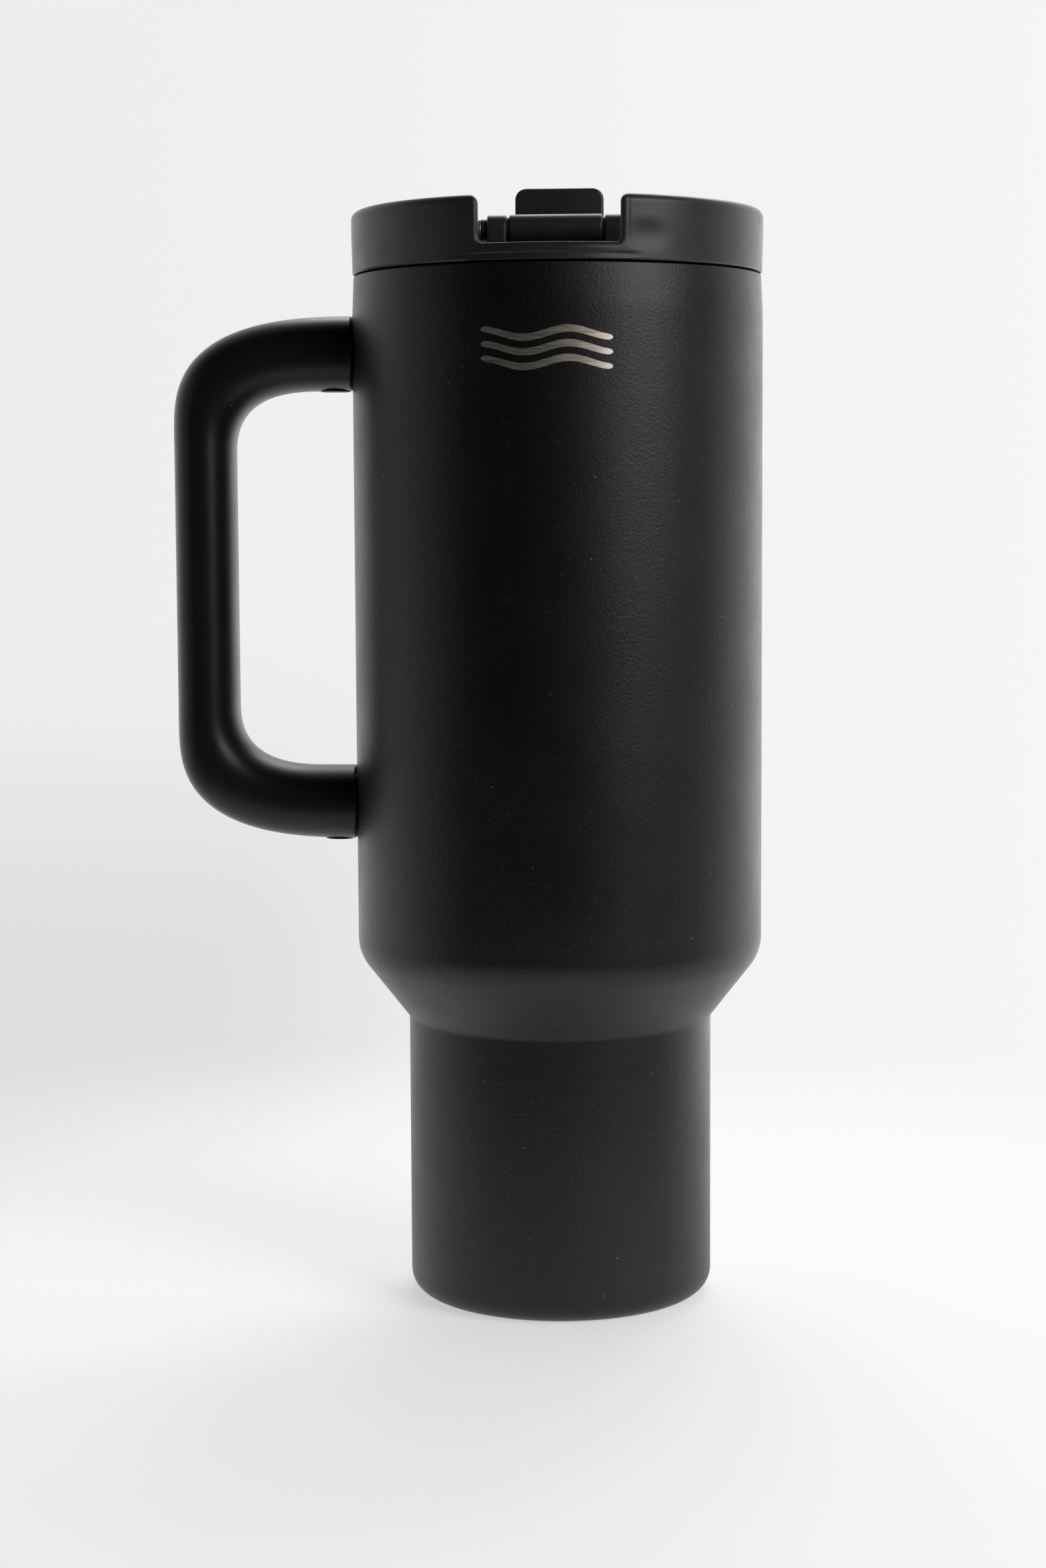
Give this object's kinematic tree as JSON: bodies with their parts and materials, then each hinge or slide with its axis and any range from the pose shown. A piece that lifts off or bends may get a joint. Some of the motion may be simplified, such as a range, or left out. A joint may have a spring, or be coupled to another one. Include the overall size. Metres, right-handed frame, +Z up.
{
  "type": "insulated travel mug",
  "caption": "Tall double-wall insulated travel mug with a side handle, a narrow cup-holder base and a screw-on lid with a hinged flap over its straw port.",
  "frame": {"origin": "centre of the base's underside, on the axis of the body", "axes": "+Z up along the body's axis, -Y out through the notch in the lid's collar, -X towards the handle"},
  "size_m": [0.1445, 0.1, 0.2739],
  "materials": {
    "black_paint": "matte powder coat, fine grain",
    "bare_steel": "brushed stainless steel",
    "handle_black": "satin black, smooth",
    "lid_black": "satin black moulded",
    "black_silicone": "soft silicone",
    "pin_steel": "polished pin",
    "getter_grey": "sintered getter",
    "seal_glass": "sealing glass bead"
  },
  "bodies": {
    "mug": {"outer_shell": "black_paint", "outer_base": "black_paint", "inner_vessel": "bare_steel", "inner_base": "bare_steel", "inner_floor": "bare_steel", "vacuum_base": "bare_steel", "vacuum_seal": "seal_glass", "getter": "getter_grey", "base_disc": "black_paint", "handle": "handle_black", "upper_bracket": "bare_steel", "lower_bracket": "bare_steel", "upper_screw": "bare_steel", "lower_screw": "bare_steel", "upper_screw_cover": "handle_black", "lower_screw_cover": "handle_black"},
    "gasket": {"lid_gasket": "black_silicone"},
    "lid": {"lid_body": "lid_black", "lid_liner": "lid_black", "port_seal": "black_silicone", "vent_valve": "black_silicone", "hinge_pin": "pin_steel", "left_pin_cap": "pin_steel", "right_pin_cap": "pin_steel"},
    "flap": {"flap": "lid_black", "flap_seal": "black_silicone"}
  },
  "joints": [
    {"name": "lid_lift", "type": "slide", "parent": "mug", "child": "gasket", "axis": [0, 0, 1], "range_m": [0, 0.016]},
    {"name": "lid_turn", "type": "hinge", "parent": "gasket", "child": "lid", "pos_m": [0, 0, 0.25], "axis": [0, 0, 1], "range_deg": [0, 720]},
    {"name": "flap_hinge", "type": "hinge", "parent": "lid", "child": "flap", "pos_m": [0, -0.006, 0.2618], "axis": [1, 0, 0], "range_deg": [0, 165]}
  ],
  "couplings": [
    {"joint": "lid_lift", "follows": "lid_turn", "m_per_rad": 0.0012732}
  ]
}
